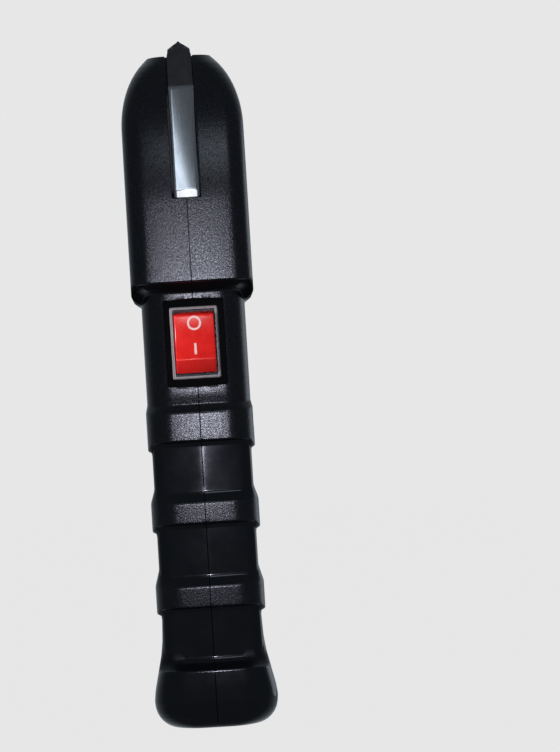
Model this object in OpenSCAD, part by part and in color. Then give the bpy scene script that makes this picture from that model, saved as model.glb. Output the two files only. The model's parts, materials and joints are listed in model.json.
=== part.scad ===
// Cordless heated uncapping knife: a two-shell handle with a rocker switch,
// a steel strip blade over the nose, a heater, one lithium cell and a charging jack.
// The handle stands on its pommel: +Z runs to the blade's point, and the switch faces -Y.

/* [Handle] */
// Length of the handle without the blade's point
body_len = 204; // [200:1:212]
// Width of the head
head_w = 37; // [36:0.5:39]
// Depth of the head, front to back
head_d = 45.6; // [45:0.2:48]
// Width of the neck
neck_w = 31.5; // [31:0.5:33]
// Depth of the neck
neck_d = 37.2; // [37:0.2:38]
// How far the grip's ridges stand out at the front and back
ridge_rise = 1.9; // [1:0.1:2.4]
// Width of the pommel at its widest
pommel_w = 37.3; // [36:0.1:39]
// Wall of the shells
wall = 2.3; // [2:0.1:2.6]

/* [Blade] */
// Width of the steel strip
blade_w = 7.6; // [7:0.1:8]
// Thickness of the strip
blade_t = 1.6; // [1.2:0.1:1.8]
// Side clearance between the strip and its slot
slot_gap = 0.4; // [0.3:0.05:0.6]
// How far the point stands above the nose
point_rise = 4.9; // [3:0.1:8]

/* [Switch] */
// Height of the switch's middle above the pommel's base
switch_z = 116; // [115:0.5:116]
// Width of the bezel
bezel_w = 14.6; // [14.4:0.1:15]
// Length of the bezel
bezel_len = 21.8; // [21.4:0.1:22]
// Tilt of the rocker to each side of level
rocker_tilt = 12; // [8:1:13]
// Tilt of the moving contact to each side of level
contact_tilt = 7; // [5:0.5:7]

/* [Cell] */
// Diameter of the lithium cell
cell_dia = 21.2; // [18.4:0.1:21.4]
// Length of the lithium cell
cell_len = 70; // [65:0.5:70]

/* [Hidden] */

$fn = 48;
eps = 0.01;
big = 100;

// ---- Outline of the handle -------------------------------------------------
grip_w = neck_w - 1.3;
grip_d = neck_d - 1.2;
ridge_w = grip_w + 2.6;
ridge_d = grip_d + 2 * ridge_rise;
pommel_d = head_d;
head_base = 134.2;
nose_start = body_len - 46;
nose_depth_axis = 49.1;
nose_side_start = body_len - 22.6;
nose_side_axis = 26.5;
foot_round = 8;
foot_inset = [7.6, 4.6];
top_round = 1.2;
nose_len = body_len - top_round - nose_start;
pommel_corner = 8.2;
grip_corner = 6.8;
ridge_corner = 7.2;
neck_corner = 7;
arc_steps = 6;
side_steps = 2;
nose_steps = 16;

// Half width and half depth of the nose at height z: two ellipses, cut off flat at the top
function nose_half_w(z) = head_w / 2 * sqrt(1 - pow(max(0, z - nose_side_start) / nose_side_axis, 2));
function nose_half_d(z) = head_d / 2 * sqrt(1 - pow(max(0, z - nose_start) / nose_depth_axis, 2));

// A station is [height at the front, height at the sides, half width, half depth, corner radius]
function foot_station(a) = let (h = foot_round * (1 - cos(a)), s = 1 - sin(a))
    [h, h, pommel_w / 2 - foot_inset[0] * s, pommel_d / 2 - foot_inset[1] * s, pommel_corner - 1.7 * s];
function grip_station(front, side, more_w, more_d) =
    [front, side, grip_w / 2 + more_w, grip_d / 2 + more_d, grip_corner];
function neck_station(front, side, more_d) = [front, side, neck_w / 2, neck_d / 2 + more_d, neck_corner];
function nose_station(z) = [z, z, nose_half_w(z), nose_half_d(z), grip_corner];

stations = concat(
    [for (i = [0 : arc_steps]) foot_station(90 * i / arc_steps)],
    [
        [12.5, 11.8, pommel_w / 2 - 0.35, pommel_d / 2 - 0.1, pommel_corner],
        [17.3, 16.2, pommel_w / 2 - 1.4, pommel_d / 2 - 0.4, 8],
        [19.4, 22, grip_w / 2 + 0.9, grip_d / 2 + 0.9, neck_corner],
        grip_station(20.9, 26.3, 0.3, 0.1),
        grip_station(35.9, 33.7, 0, 0),
    ],
    ridge(36.4, 34.7, 42.6, 43.2, 0.1),
    [grip_station(45.2, 48, 0, 0), grip_station(60.8, 58.6, 0, 0)],
    ridge(61.6, 59.5, 67.8, 68.2, 0),
    [grip_station(70.4, 72.2, 0, 0), grip_station(85.4, 83, 0, 0)],
    ridge(86.4, 84, 95, 95.6, -0.1),
    [
        neck_station(97.4, 98, -0.3),
        neck_station(100.6, 101.4, 0),
        neck_station(131.3, 128, 0),
        [head_base - 0.4, 130, head_w / 2 - 0.35, head_d / 2 - 0.9, neck_corner],
        [head_base + 0.2, 130.9, head_w / 2, head_d / 2, neck_corner],
        [nose_start, nose_start, head_w / 2, head_d / 2, grip_corner],
    ],
    [for (i = [1 : nose_steps]) nose_station(nose_start + nose_len * i / nose_steps)],
    [[body_len, body_len, nose_half_w(body_len - top_round) - top_round,
        nose_half_d(body_len - top_round) - top_round, grip_corner - 1]]);

// A ridge between its lower and upper edge, each given at the front and at the sides
function ridge(low_front, low_side, high_front, high_side, extra) =
    let (w = ridge_w / 2 + extra, d = ridge_d / 2 + extra, r = ridge_corner, soft = 0.35)
    [
        [low_front - 0.1, low_side - 0.1, w - soft, d - soft, r],
        [low_front + soft, low_side + soft, w, d, r],
        [high_front - soft, high_side - soft, w, d, r],
        [high_front, high_side, w - soft, d - soft, r],
    ];

// Half a ring of points, from the front seam round one side to the back seam. A high front_share
// keeps the corners at the front's height until close to the side.
front_share = 8;
function half_ring(s) = let (w = s[2], d = s[3], r = s[4]) concat(
    [[0, -d, s[0]]],
    [for (i = [0 : arc_steps]) let (a = 90 * i / arc_steps, b = pow(sin(a), front_share))
        [w - r + r * sin(a), -d + r - r * cos(a), s[0] + (s[1] - s[0]) * b]],
    [for (i = [1 : side_steps - 1]) [w, (d - r) * (2 * i / side_steps - 1), s[1]]],
    [for (i = [0 : arc_steps]) let (a = 90 - 90 * i / arc_steps, b = pow(sin(a), front_share))
        [w - r + r * sin(a), d - r + r * cos(a), s[0] + (s[1] - s[0]) * b]],
    [[0, d, s[0]]]);

// Half of the solid handle, on the +X side (side = 1) or the -X side (side = -1)
module half_body(side) {
    rings = [for (s = stations) half_ring(s)];
    n = len(rings[0]);
    rows = len(rings);
    points = [for (ring = rings, p = ring) [side * p[0], p[1], p[2]]];
    skin = [for (j = [0 : rows - 2], i = [0 : n - 1])
        let (a = j * n + i, b = j * n + (i + 1) % n) each [[a, a + n, b], [b, a + n, b + n]]];
    ends = [[for (i = [0 : n - 1]) i], [for (i = [n - 1 : -1 : 0]) (rows - 1) * n + i]];
    faces = concat(skin, ends);
    polyhedron(points, side > 0 ? faces : [for (f = faces) [for (i = [len(f) - 1 : -1 : 0]) f[i]]]);
}

// ---- Hollow of the handle --------------------------------------------------
cavity_w = grip_w - 2 * wall;
cavity_d = grip_d - 2 * wall;
cavity_corner = 4.6;
floor_t = 2.6;
seat_y = -neck_d / 2 + 4.1;
neck_front = seat_y + 2.2;
neck_back = neck_d / 2 - wall;

module rounded_rect(w, d, r) {
    square([w - 2 * r, d], center = true);
    square([w, d - 2 * r], center = true);
    for (x = [-1, 1], y = [-1, 1]) translate([x * (w / 2 - r), y * (d / 2 - r)]) circle(r);
}

module column(low, high, w, d, r) {
    translate([0, 0, low]) linear_extrude(high - low) rounded_rect(w, d, r);
}

grip_top = 98;
// Each step of the hollow inside the nose is [low, high, width less than the head's, depth, corner radius]
nose_steps_inside = [[17, 29, 8, 29, 5], [28, 37, 13, 21.6, 4]];

module hollow() {
    column(floor_t, grip_top + 1, cavity_w, cavity_d, cavity_corner);
    translate([0, (neck_front + neck_back) / 2, 0])
        column(grip_top, head_base + 2, cavity_w, neck_back - neck_front, 4);
    column(head_base + 1, nose_start + 18, head_w - 2 * wall, head_d - 2 * wall, 5);
    for (s = nose_steps_inside) column(nose_start + s[0], nose_start + s[1], head_w - s[2], s[3], s[4]);
}

// ---- Fasteners of the two shells -------------------------------------------
// Each place is [y, z] of a screw along X
shell_screw_places = [[-12.6, 8], [12.6, 8], [-10.5, 92.6], [11.4, 104], [-13.2, 139.6], [13.2, 139.6],
    [8.6, nose_start + 26.6]];
boss_r = 3.7;
screw_r = 1.45;
screw_clear_r = 1.6;
pilot_r = 1.47;
head_r = 2.8;
head_h = 2.2;
counterbore_r = 3.05;
seat_x = 6.5;
screw_reach = 10;

module along_x(x, y, z, r, len) {
    translate([x, y, z]) rotate([0, 90, 0]) cylinder(r = r, h = len);
}

module bosses() {
    for (p = shell_screw_places) along_x(-head_w / 2, p[0], p[1], boss_r, head_w);
}

board_w = 28;
board_y = 4;
board_t = 1.6;
board_low = 141;
board_high = 177;
rail_gap = 0.15;

module board_rails() {
    for (side = [-1, 1], y = [board_y - rail_gap - 1.4, board_y + board_t + rail_gap])
        translate([side > 0 ? board_w / 2 - 1.2 : -head_w / 2, y, board_low + 2])
            cube([head_w / 2 - board_w / 2 + 1.2, 1.4, board_high - board_low - 8]);
}

// ---- Blade, clamped over a heated block -------------------------------------
fold_low = nose_start + 1.5;
facet = [1.3, 2.3];
plate_foot = [-head_d / 2, fold_low + facet[1]];
plate_top = [-16, body_len - 10.3];
point_dir = (plate_top - [-8.4, body_len - 0.6]) / norm(plate_top - [-8.4, body_len - 0.6]);
point_end = plate_top + point_dir * (body_len + point_rise + 1.2 - plate_top[1]) / point_dir[1];
plate_lean = atan2(plate_top[0] - plate_foot[0], plate_top[1] - plate_foot[1]);
tail_end = -9.5;

// Outer line of the strip in the YZ plane, from the tail's end to the point
blade_line = [[tail_end, fold_low], [plate_foot[0] + facet[0], fold_low], plate_foot, plate_top, point_end];

function unit(v) = v / norm(v);
function turned(v) = [v[1], -v[0]];
function corner_offset(before, after) = let (a = turned(unit(before)), b = turned(unit(after)))
    (a + b) / (1 + a * b);
// The same line, moved inwards by t
function moved_in(line, t) = [for (i = [0 : len(line) - 1])
    let (before = line[max(i, 1)] - line[max(i, 1) - 1],
         after = line[min(i + 1, len(line) - 1)] - line[min(i + 1, len(line) - 1) - 1])
    line[i] + t * corner_offset(before, after)];
function reversed(list) = [for (i = [len(list) - 1 : -1 : 0]) list[i]];

// A [y, z] outline, extruded along X about the seam plane
module side_prism(outline, w) {
    rotate([90, 0, 90]) linear_extrude(w, center = true) polygon(outline);
}

// The plate's inner face at height z, moved further in by gap
function plate_inner(z, gap) = [plate_foot[0] + (z - plate_foot[1]) * tan(plate_lean)
    + (blade_t + gap) / cos(plate_lean), z];

block_high = nose_start + 29;
block_back = -6.6;
block_w = 9.2;
cartridge_r = 3;
cartridge_low = nose_start + 12.4;
cartridge_len = 20;
cartridge_end = body_len - 11;
clamp_screw_ys = [-17, -12.4];
clamp_screw_r = 1.2;
holder_w = 13.6;

// The block's outline against the strip's inner line, up to height top and grown by grow
function block_outline(grow, top) = let (inner = moved_in(blade_line, blade_t + 0.05 - grow))
    [inner[1], inner[2], plate_inner(top, 0.05 - grow), [block_back + grow, top],
        [block_back + grow, inner[1][1]]];

// Room for the strip, its tail and the heated block inside the shells
module blade_slot() {
    above = body_len + 9;
    low = fold_low - 0.3;
    outside = [[-10, above], [-40, above], [-40, low], [tail_end + 2, low]];
    side_prism(concat(moved_in(blade_line, blade_t + 0.5), outside), blade_w + 2 * slot_gap);
    side_prism(block_outline(0.35, cartridge_end + 0.6), block_w + 0.8);
}

module blade() color("lightsteelblue") {
    half = blade_w / 2;
    top = body_len + point_rise;
    difference() {
        intersection() {
            side_prism(concat(blade_line, reversed(moved_in(blade_line, blade_t))), blade_w);
            rotate([90, 0, 0]) linear_extrude(big, center = true)
                polygon([[-half, 0], [half, 0], [half, top - 6.4], [half - 0.6, top - 2.7], [0, top],
                    [0.6 - half, top - 2.7], [-half, top - 6.4]]);
        }
        for (side = [-1, 1]) point_bevel(side);
        for (y = clamp_screw_ys) translate([0, y, fold_low - 2]) cylinder(r = clamp_screw_r + 0.1, h = 6);
    }
}

// Grinds one side of the point's outer face, leaving a ridge down the middle
module point_bevel(side) {
    translate([0, plate_top[0], plate_top[1]]) rotate([-atan2(point_dir[0], point_dir[1]), 0, 0])
        translate([0, 0, 13.2]) rotate([-9, side * 4, side * 22])
            translate([side > 0 ? 0 : -10, -10, 0]) cube([10, 10, 20]);
}

module heater_block() color("silver") difference() {
    side_prism(block_outline(0, block_high), block_w);
    cartridge_place() cylinder(r = cartridge_r + 0.03, h = 30);
    for (y = clamp_screw_ys) translate([0, y, fold_low]) cylinder(r = clamp_screw_r + 0.02, h = 6.3);
}

module cartridge_place() {
    middle = plate_inner(cartridge_low, 4.3);
    translate([0, middle[0], middle[1]]) rotate([-plate_lean, 0, 0]) children();
}

module heater_cartridge() color("gainsboro") cartridge_place() {
    cylinder(r = cartridge_r, h = cartridge_len);
    for (x = [-1.3, 1.3]) translate([x, 0, cartridge_len]) cylinder(r = 0.5, h = 1.2, $fn = 24);
}

// Phenolic channel that holds the block and keeps its heat off the shells
module blade_holder() color("saddlebrown") difference() {
    low = nose_start + 7.2;
    high = nose_start + 31.6;
    side_prism([[-15.4, low], [-9.6, high], [-3.6, high], [-3.6, low]], holder_w);
    side_prism(block_outline(0.05, block_high + 5), block_w + 0.1);
    cartridge_place() cylinder(r = cartridge_r + 1, h = 40);
}

module tail_clamp() color("dimgray") difference() {
    translate([-4, -19, fold_low - 2.2]) cube([8, 9.5, 2.15]);
    for (y = clamp_screw_ys) translate([0, y, fold_low - 3]) cylinder(r = clamp_screw_r + 0.05, h = 4);
}

module clamp_screws() color("silver") for (y = clamp_screw_ys) translate([0, y, fold_low - 2.2]) {
    translate([0, 0, -0.5]) cylinder(r = clamp_screw_r, h = 8.3);
    translate([0, 0, -1.6]) difference() {
        cylinder(r = 2.2, h = 1.6);
        translate([0, 0, -eps]) cylinder(r = 1.15, h = 0.9, $fn = 6);
    }
}

module thermostat() color("lightgray") {
    translate([-4, -3.5, nose_start + 11]) cube([8, 3.8, 13]);
    for (z = [8.6, 24]) translate([-1.2, -1.9, nose_start + z]) cube([2.4, 0.5, 2.4]);
}

// ---- Shells -----------------------------------------------------------------
recess_w = 18.3;
recess_len = 26;
body_opening = [13.2, 19.6];
jack_r = 3.9;

module shell_cuts() {
    centred_box(recess_w, -neck_d, seat_y, recess_len);
    centred_box(body_opening[0], seat_y - 1, seat_y + 5, body_opening[1]);
    translate([0, 0, -1]) cylinder(r = jack_r + 0.1, h = floor_t + 2);
}

module shell(side) {
    difference() {
        half_body(side);
        difference() {
            hollow();
            bosses();
            board_rails();
        }
        blade_slot();
        shell_cuts();
        for (p = shell_screw_places) shell_screw_hole(side, p);
    }
}

module shell_screw_hole(side, place) {
    if (side > 0) {
        along_x(-1, place[0], place[1], screw_clear_r, seat_x + 2);
        along_x(seat_x, place[0], place[1], counterbore_r, head_w);
    } else {
        along_x(-screw_reach - 1, place[0], place[1], pilot_r, screw_reach + 2);
    }
}

module left_shell() color("#17181b") shell(-1);
module right_shell() color("#17181b") shell(1);

module shell_screws() color("dimgray") for (p = shell_screw_places) difference() {
    union() {
        along_x(-screw_reach, p[0], p[1], screw_r, screw_reach + seat_x + eps);
        along_x(seat_x, p[0], p[1], head_r, head_h);
    }
    for (turn = [0, 90]) translate([seat_x + head_h - 1, p[0], p[1]]) rotate([turn, 0, 0])
        translate([0, -0.4, -1.6]) cube([2, 0.8, 3.2]);
}

// ---- Switch -----------------------------------------------------------------
bezel_h = 3.8;
window = [12.7, 20];
pivot_y = seat_y - 1.3;
pin_r = 1;
pin_gap = 0.05;
body_depth = 12;
body_w = 12.9;
body_len_z = 19.2;
fulcrum_y = seat_y + 9.1;
bottom_y = seat_y + body_depth - 1.5;

module centred_box(x, low_y, high_y, z) {
    translate([-x / 2, low_y, switch_z - z / 2]) cube([x, high_y - low_y, z]);
}

module switch_housing() color("#202124") difference() {
    union() {
        centred_box(bezel_w, seat_y - bezel_h, seat_y, bezel_len);
        centred_box(body_w, seat_y - eps, seat_y + body_depth, body_len_z);
    }
    centred_box(window[0], seat_y - bezel_h - 1, seat_y - eps, window[1]);
    centred_box(10.4, seat_y - 1, bottom_y, 16.6);
    along_x(-window[0] / 2 - 0.55, pivot_y, switch_z, pin_r + pin_gap, window[0] + 1.1);
    for (z = [0, 7]) translate([-2.5, bottom_y - 1, switch_z + z - 0.5]) cube([5, 4, 1]);
}

// Turns a part of the switch about an axis along X through the given y
module tilted(y, angle) {
    translate([0, y, switch_z]) rotate([angle, 0, 0]) children();
}

// Side outline of the rocker about its pivot as [along z, height], level: a hollow top and slanted ends
rocker_tip = [6.7, 5.7];
rocker_corner = [9.5, 0.9];
rocker_dip = 1.2;
function rocker_outline() = concat(
    [for (i = [-4 : 4]) [rocker_tip[0] * i / 4, rocker_tip[1] - rocker_dip * (1 - pow(i / 4, 2))]],
    [[rocker_corner[0] - 0.35, rocker_corner[1] + 1.5], rocker_corner, [3, 0.2], [-3, 0.2],
        [-rocker_corner[0], rocker_corner[1]], [-rocker_corner[0] + 0.35, rocker_corner[1] + 1.5]]);

module rocker() color("#d0141a") tilted(pivot_y, -rocker_tilt) difference() {
    union() {
        side_prism([for (p = rocker_outline()) [-p[1], p[0]]], 12.2);
        along_x(-6.85, 0, 0, pin_r, 13.7);
        rotate([-90, 0, 0]) cylinder(r = 2.5, h = 6.2);
    }
    translate([0, 0.8, 0]) rotate([-90, 0, 0]) cylinder(r = 1.65, h = 6);
}

plunger_r = 1.5;
plunger_reach = 8.2;

module switch_plunger() color("ivory") tilted(pivot_y, -rocker_tilt) {
    translate([0, 4.5, 0]) rotate([-90, 0, 0]) cylinder(r = plunger_r, h = plunger_reach - 4.5);
    translate([0, plunger_reach, 0]) sphere(plunger_r);
}

spring_turns = 5;
spring_steps = 12;
function spring_path() = [for (i = [0 : spring_turns * spring_steps]) let (a = 360 * i / spring_steps)
    [1.15 * cos(a), 1.05 + 3.2 * i / (spring_turns * spring_steps), 1.15 * sin(a)]];

module switch_spring() color("silver") tilted(pivot_y, -rocker_tilt) tube(spring_path(), 0.18, 6);

module moving_contact() color("goldenrod") tilted(fulcrum_y, contact_tilt) {
    translate([-2.4, -0.5, -6.4]) cube([4.8, 0.5, 12.8]);
    translate([-2.4, 0, 0]) rotate([0, 90, 0]) cylinder(r = 0.28, h = 4.8, $fn = 32);
    translate([0, -eps, 5.5]) rotate([-90, 0, 0]) cylinder(r = 1, h = 0.25 + eps, $fn = 32);
}

module terminal(z, top_y) {
    translate([-2.4, bottom_y - 0.02, switch_z + z - 0.4]) cube([4.8, 10.5, 0.8]);
    translate([-2.4, top_y, switch_z + z - 0.9]) cube([4.8, bottom_y - top_y - 0.02, 1.8]);
}

module common_terminal() color("gold") terminal(0, fulcrum_y + 0.3);
module load_terminal() color("gold") terminal(7, bottom_y - 0.2);

// ---- Cell and its holders ----------------------------------------------------
cell_low = 15.2;
holder_t = 6;
pocket = 4;
wire_lane = [11.1, 6];
upper_holder_z = cell_low + cell_len - pocket - 1;

module battery_cell() color("mediumseagreen") translate([0, 0, cell_low]) {
    cylinder(r = cell_dia / 2, h = cell_len - 1);
    translate([0, 0, cell_len - 1 - eps]) cylinder(r = 2.9, h = 1 + eps);
}

module cell_holder(low, pocket_low) {
    difference() {
        column(low, low + holder_t, cavity_w - 0.3, cavity_d - 0.3, cavity_corner - 0.2);
        translate([0, 0, pocket_low]) cylinder(r = cell_dia / 2 + 0.1, h = pocket + 1);
        translate([-4, -3, low - 1]) cube([8, 6, holder_t + 2]);
        for (x = [-1, 1]) translate([x * wire_lane[0], wire_lane[1], low - 1])
            cylinder(r = 1.5, h = holder_t + 2);
    }
}

module lower_cell_holder() color("#2b2d31") cell_holder(cell_low - 2, cell_low);
module upper_cell_holder() color("#2b2d31") cell_holder(upper_holder_z, upper_holder_z - 1);

tab_t = 0.3;
module positive_tab() color("lightgray") {
    translate([-3, -2.5, cell_low + cell_len + 0.05]) cube([6, 5, tab_t]);
}
module negative_tab() color("lightgray") {
    translate([-3, -2.5, cell_low - tab_t - 0.05]) cube([6, 5, tab_t]);
}

// ---- Board ---------------------------------------------------------------------
module control_board() color("darkgreen") difference() {
    translate([-board_w / 2, board_y, board_low]) cube([board_w, board_t, board_high - board_low]);
    for (x = [-10, 10]) translate([x, board_y - 1, board_high - 3]) rotate([-90, 0, 0])
        cylinder(r = 1.2, h = 4);
}

board_face = board_y + board_t + 0.02;
module board_inductor() color("#3a3a3e") translate([-5.5, board_face, 156]) difference() {
    translate([-6, 0, -6]) cube([12, 6, 12]);
    translate([0, 5.2, 0]) rotate([-90, 0, 0]) cylinder(r = 3.6, h = 2);
}
module board_capacitor() color("midnightblue") translate([6.5, board_face, 154]) rotate([-90, 0, 0]) {
    cylinder(r = 4, h = 10.5);
}
module board_transistor() color("#222226") translate([-1, board_face, 165.5]) {
    cube([10, 4.4, 9]);
}

// ---- Charging jack --------------------------------------------------------------
module charging_jack() color("#26272a") difference() {
    union() {
        translate([0, 0, 0.6]) cylinder(r = jack_r, h = 4);
        translate([-5, -5, floor_t + 0.05]) cube([10, 10, 7.8]);
    }
    translate([0, 0, -1]) cylinder(r = 3, h = 10.2);
    translate([0, 0, 8]) cylinder(r = 1.05, h = 4);
}

module jack_pin() color("silver") translate([0, 0, 1.8]) cylinder(r = 1.03, h = 8.8);

// ---- Wires ----------------------------------------------------------------------
wire_r = 0.9;
wire_sides = 8;

// Points of a smooth line through the given ones (Catmull-Rom)
function smooth(p, steps) = [for (i = [0 : len(p) - 2], k = [0 : steps - 1])
    let (a = p[max(i - 1, 0)], b = p[i], c = p[i + 1], d = p[min(i + 2, len(p) - 1)], t = k / steps)
    0.5 * (2 * b + (c - a) * t + (2 * a - 5 * b + 4 * c - d) * t * t
        + (3 * b - a - 3 * c + d) * t * t * t),
    p[len(p) - 1]];

function direction(path, i) = let (v = path[min(i + 1, len(path) - 1)] - path[max(i - 1, 0)]) v / norm(v);
// The cross direction is carried along the path, so that the tube doesn't twist
function carried(path, i, last) = i >= len(path) ? [] :
    let (t = direction(path, i), raw = last - (last * t) * t, side = raw / norm(raw))
    concat([side], carried(path, i + 1, side));

// A round tube along a path
module tube(path, r, sides) {
    first = direction(path, 0);
    seed = abs(first[0]) < 0.8 ? [1, 0, 0] : [0, 1, 0];
    across = carried(path, 0, seed);
    n = len(path);
    points = [for (i = [0 : n - 1], k = [0 : sides - 1])
        let (a = 360 * k / sides, u = across[i], v = cross(direction(path, i), u))
        path[i] + r * (cos(a) * u + sin(a) * v)];
    skin = [for (i = [0 : n - 2], k = [0 : sides - 1])
        let (a = i * sides + k, b = i * sides + (k + 1) % sides)
        each [[a, a + sides, b], [b, a + sides, b + sides]]];
    ends = [[for (k = [0 : sides - 1]) k], [for (k = [sides - 1 : -1 : 0]) (n - 1) * sides + k]];
    polyhedron(points, concat(skin, ends));
}

module wire(points) {
    tube(smooth(points, 3), wire_r, wire_sides);
}

// Points whose heights are given above the start of the nose
function above_nose(points) = [for (p = points) p + [0, 0, nose_start]];

pad_y = board_y + board_t + wire_r + 0.03;
spade_y = bottom_y + 9.5;

// Up one side of the grip, past the cell, to the board
function lane_route(side, low) = concat(
    [for (z = [low, 20, 60, 100, 130]) [side * wire_lane[0], wire_lane[1], z]],
    [[side * 11, pad_y + 0.2, 139], [side * 11, pad_y, 145]]);

module cell_positive_wire() color("red")
    wire([[1.5, 0, cell_low + cell_len + 1.35], [1.5, 2, 90], [0.6, 4, 97], [0, 4.8, 105], [0, 5.4, 111],
        [0, spade_y, switch_z - 0.5]]);
module switched_wire() color("red")
    wire([[0, spade_y - 0.5, switch_z + 7.8], [0, spade_y + 0.5, 127], [-2, 8, 133], [-5.5, pad_y + 0.5, 140],
        [-6, pad_y, 145]]);
module cell_negative_wire() color("black")
    wire(concat([[-2.4, 0, cell_low - 1.35], [-3.4, 0.6, 11.7], [-8, 4, 11.7]], lane_route(-1, 13.6)));
module charging_wire() color("gold")
    wire(concat([[5.95, 0, 7.6], [8, 2, 8], [10.6, 5, 9.6]], lane_route(1, 12.6)));
module heater_feed_wire() color("ivory")
    wire(above_nose([[1.3, -9.6, 34.5], [1.2, -6, 35.5], [1, -2.6, 33], [0, -0.7, 28.8]]));
module thermostat_wire() color("ivory")
    wire(concat(above_nose([[0, -0.7, 8.4], [0, -0.4, 2]]), [[1, 2, 150], [3, 1.5, 140], [3, 5, 137.6],
        [3.5, pad_y + 0.4, 141], [3.5, pad_y, 146]]));
module heater_return_wire() color("ivory")
    wire(concat(above_nose([[-1.3, -9.6, 34.5], [-3, -6, 35.4], [-6, -1, 32], [-7, 1.8, 24], [-7, 2.4, 12]]),
        [[-7, 2.2, 150], [-2, 1.6, 140], [-1.5, 5, 137.6], [-1.5, pad_y + 0.4, 141], [-1.5, pad_y, 146]]));

left_shell();
right_shell();
shell_screws();
blade();
heater_block();
heater_cartridge();
blade_holder();
tail_clamp();
clamp_screws();
thermostat();
switch_housing();
rocker();
switch_plunger();
switch_spring();
moving_contact();
common_terminal();
load_terminal();
battery_cell();
lower_cell_holder();
upper_cell_holder();
positive_tab();
negative_tab();
control_board();
board_inductor();
board_capacitor();
board_transistor();
charging_jack();
jack_pin();
cell_positive_wire();
cell_negative_wire();
charging_wire();
switched_wire();
heater_feed_wire();
thermostat_wire();
heater_return_wire();
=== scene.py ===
"""Looks of the cordless heated uncapping knife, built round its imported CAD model."""
import json
import math

import bmesh
import bpy
import numpy as np
from mathutils import Matrix, Vector


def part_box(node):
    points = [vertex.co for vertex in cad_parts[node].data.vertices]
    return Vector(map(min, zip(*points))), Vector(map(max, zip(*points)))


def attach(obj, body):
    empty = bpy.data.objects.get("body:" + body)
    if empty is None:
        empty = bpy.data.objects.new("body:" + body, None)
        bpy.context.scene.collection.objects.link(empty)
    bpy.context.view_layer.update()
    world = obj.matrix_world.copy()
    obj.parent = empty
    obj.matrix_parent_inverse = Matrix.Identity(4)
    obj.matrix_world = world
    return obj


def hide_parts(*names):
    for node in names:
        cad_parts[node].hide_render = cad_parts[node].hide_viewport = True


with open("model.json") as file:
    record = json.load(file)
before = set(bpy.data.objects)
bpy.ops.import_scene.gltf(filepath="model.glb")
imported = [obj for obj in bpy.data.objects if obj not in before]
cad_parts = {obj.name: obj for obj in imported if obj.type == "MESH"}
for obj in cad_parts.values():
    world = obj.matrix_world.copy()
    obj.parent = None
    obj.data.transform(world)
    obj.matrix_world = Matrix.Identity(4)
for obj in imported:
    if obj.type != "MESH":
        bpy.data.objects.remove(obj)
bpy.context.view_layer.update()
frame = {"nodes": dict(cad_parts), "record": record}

MM = 0.001


# ---- Sizes, in millimetres, taken from the CAD model ----------------------------------------
def node_box(name):
    """Lowest and highest corner of a CAD node, in millimetres."""
    low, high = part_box(name)
    return low / MM, high / MM


def cad_points(name):
    """The vertices of a CAD node, in millimetres."""
    return np.array([v.co for v in frame["nodes"][name].data.vertices]) / MM


BODY_LEN = node_box("left_shell")[1].z
blade_low, blade_high = node_box("blade")
switch_low, switch_high = node_box("switch_housing")
rocker_low, rocker_high = node_box("rocker")
shell_points = cad_points("left_shell")
right_points = cad_points("right_shell")


def half_size(low, high, axis):
    """Half the handle's width (axis 0) or depth (axis 1) between two heights."""
    rows = shell_points[(shell_points[:, 2] > low) & (shell_points[:, 2] < high)]
    return float(np.abs(rows[:, axis]).max())


# Heights between which each part of the handle has its full size
POMMEL_BAND, NECK_SIDE_BAND, NECK_FACE_BAND, HEAD_BAND = (5, 12), (99, 125), (99, 129), (133, 160)

POMMEL_W = half_size(*POMMEL_BAND, 0)
POMMEL_D = half_size(*POMMEL_BAND, 1)
HEAD_W = half_size(*HEAD_BAND, 0)
HEAD_D = half_size(*HEAD_BAND, 1)
NECK_W = half_size(*NECK_SIDE_BAND, 0) - 0.05
NECK_D = half_size(*NECK_FACE_BAND, 1)
GRIP_W = NECK_W - 0.65
GRIP_D = NECK_D - 0.6
RIDGE_W = GRIP_W + 1.3
RIDGE_D = GRIP_D + 1.9
NOSE_START = BODY_LEN - 46
NOSE_SIDE_START = BODY_LEN - 22.6
NOSE_SIDE_REACH, NOSE_FACE_REACH = 26.5, 49.1
TOP_ROUND = 1.2
SWITCH_Z = (switch_low.z + switch_high.z) / 2
SEAT_Y = switch_low.y + 3.8


# ---- Mesh helpers ---------------------------------------------------------------------------
def link(name, points, faces):
    """A new mesh object from points in millimetres."""
    mesh = bpy.data.meshes.new(name)
    mesh.from_pydata([tuple(float(c) * MM for c in p) for p in points], [], faces)
    mesh.validate()
    piece = bpy.data.objects.new(name, mesh)
    bpy.context.scene.collection.objects.link(piece)
    return piece


def outward(piece):
    """Turns every face of a closed mesh outwards."""
    work = bmesh.new()
    work.from_mesh(piece.data)
    bmesh.ops.recalc_face_normals(work, faces=work.faces)
    work.to_mesh(piece.data)
    work.free()
    return piece


def apply_modifiers(piece):
    """Bakes a piece's modifiers into its mesh."""
    graph = bpy.context.evaluated_depsgraph_get()
    mesh = bpy.data.meshes.new_from_object(piece.evaluated_get(graph))
    old = piece.data
    piece.modifiers.clear()
    piece.data = mesh
    bpy.data.meshes.remove(old)
    return piece


def cut(piece, cutters, operation="DIFFERENCE"):
    """Cuts or adds the given pieces, and removes them."""
    for cutter in cutters:
        step = piece.modifiers.new("cut", "BOOLEAN")
        step.operation = operation
        step.solver = "MANIFOLD"
        step.object = cutter
        apply_modifiers(piece)
        bpy.data.objects.remove(cutter)
    return piece


def smooth(piece, angle=35):
    """Smooth shading, with an edge kept where faces meet at more than the angle."""
    piece.data.shade_smooth()
    piece.data.set_sharp_from_angle(angle=math.radians(angle))
    return piece


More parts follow.
